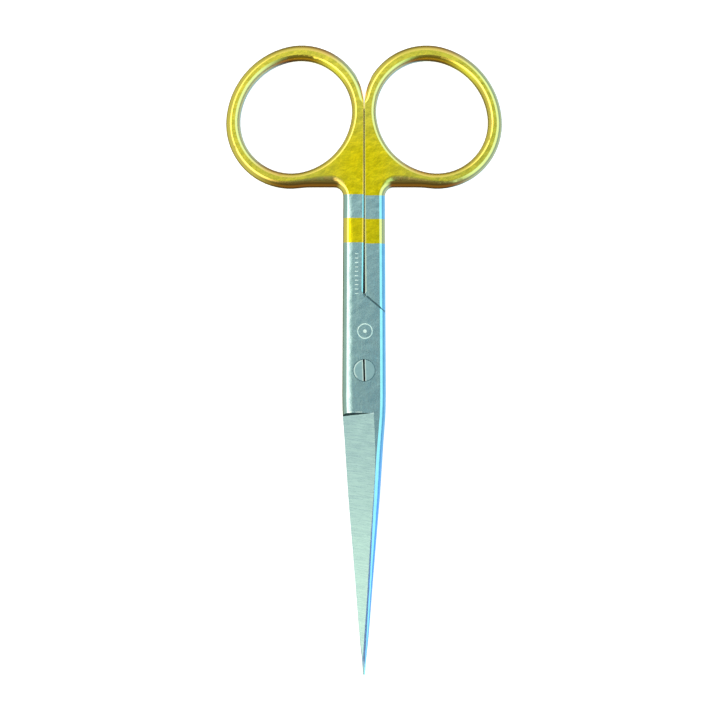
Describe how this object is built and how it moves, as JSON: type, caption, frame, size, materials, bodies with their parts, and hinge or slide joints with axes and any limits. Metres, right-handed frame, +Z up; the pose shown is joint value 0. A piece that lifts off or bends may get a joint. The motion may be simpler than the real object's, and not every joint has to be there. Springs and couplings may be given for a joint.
{
  "type": "straight scissors",
  "caption": "Slim straight scissors with round gold-plated finger rings, a half-lap pivot held by a slotted screw, and long tapering bevelled blades with fine points.",
  "frame": {"origin": "on the pivot axis, at the plane that the scissors rest on", "axes": "+Z up along the pivot axis, towards the screw head; +Y from the blade tips towards the finger rings; +X to the right, seen from above"},
  "size_m": [0.0502, 0.1143, 0.003],
  "materials": {
    "half_steel": "satin ground flats, polished round edges",
    "screw_steel": "satin"
  },
  "bodies": {
    "rear": {"rear_half": "half_steel", "pivot_screw": "screw_steel"},
    "front": {"front_half": "half_steel"}
  },
  "joints": [
    {"name": "blade_pivot", "type": "hinge", "parent": "rear", "child": "front", "pos_m": [0, 0, 0.0015], "axis": [0, 0, 1], "range_deg": [0, 90]}
  ]
}
